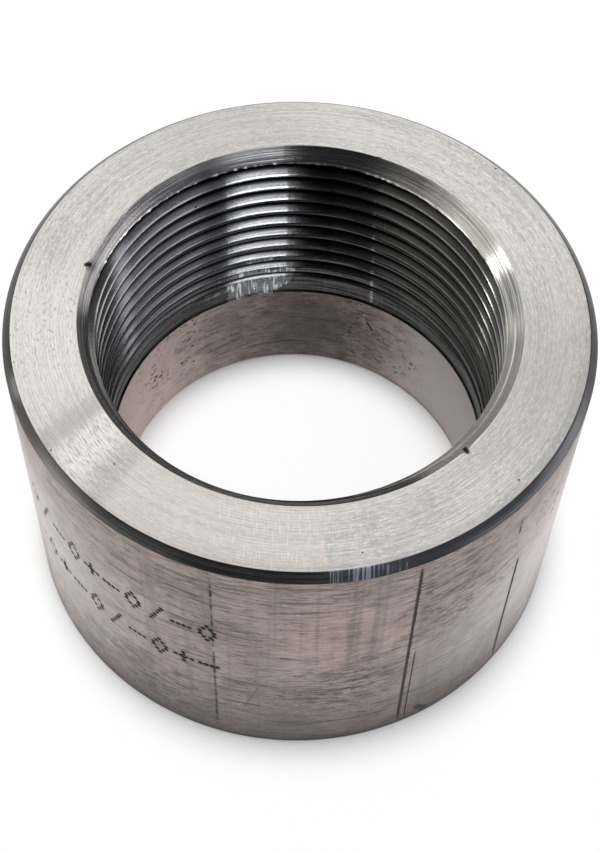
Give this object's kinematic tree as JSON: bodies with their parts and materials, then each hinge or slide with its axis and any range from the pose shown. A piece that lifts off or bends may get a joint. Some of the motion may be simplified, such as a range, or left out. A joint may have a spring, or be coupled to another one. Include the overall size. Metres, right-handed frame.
{
  "type": "threaded half coupling",
  "caption": "Thick round steel sleeve with a taper pipe thread in its countersunk top and a plain bore and square weld end below.",
  "frame": {"origin": "centre of the plain weld end, on the bore's axis", "axes": "+Z along the bore's axis, from the weld end up to the threaded mouth; +X to the right in the reference view"},
  "size_m": [0.064, 0.064, 0.04],
  "materials": {
    "stainless_steel": "turned mouth and thread, pickled outside wall and plain bore"
  },
  "bodies": {
    "root": {"coupling_body": "stainless_steel"}
  },
  "joints": []
}
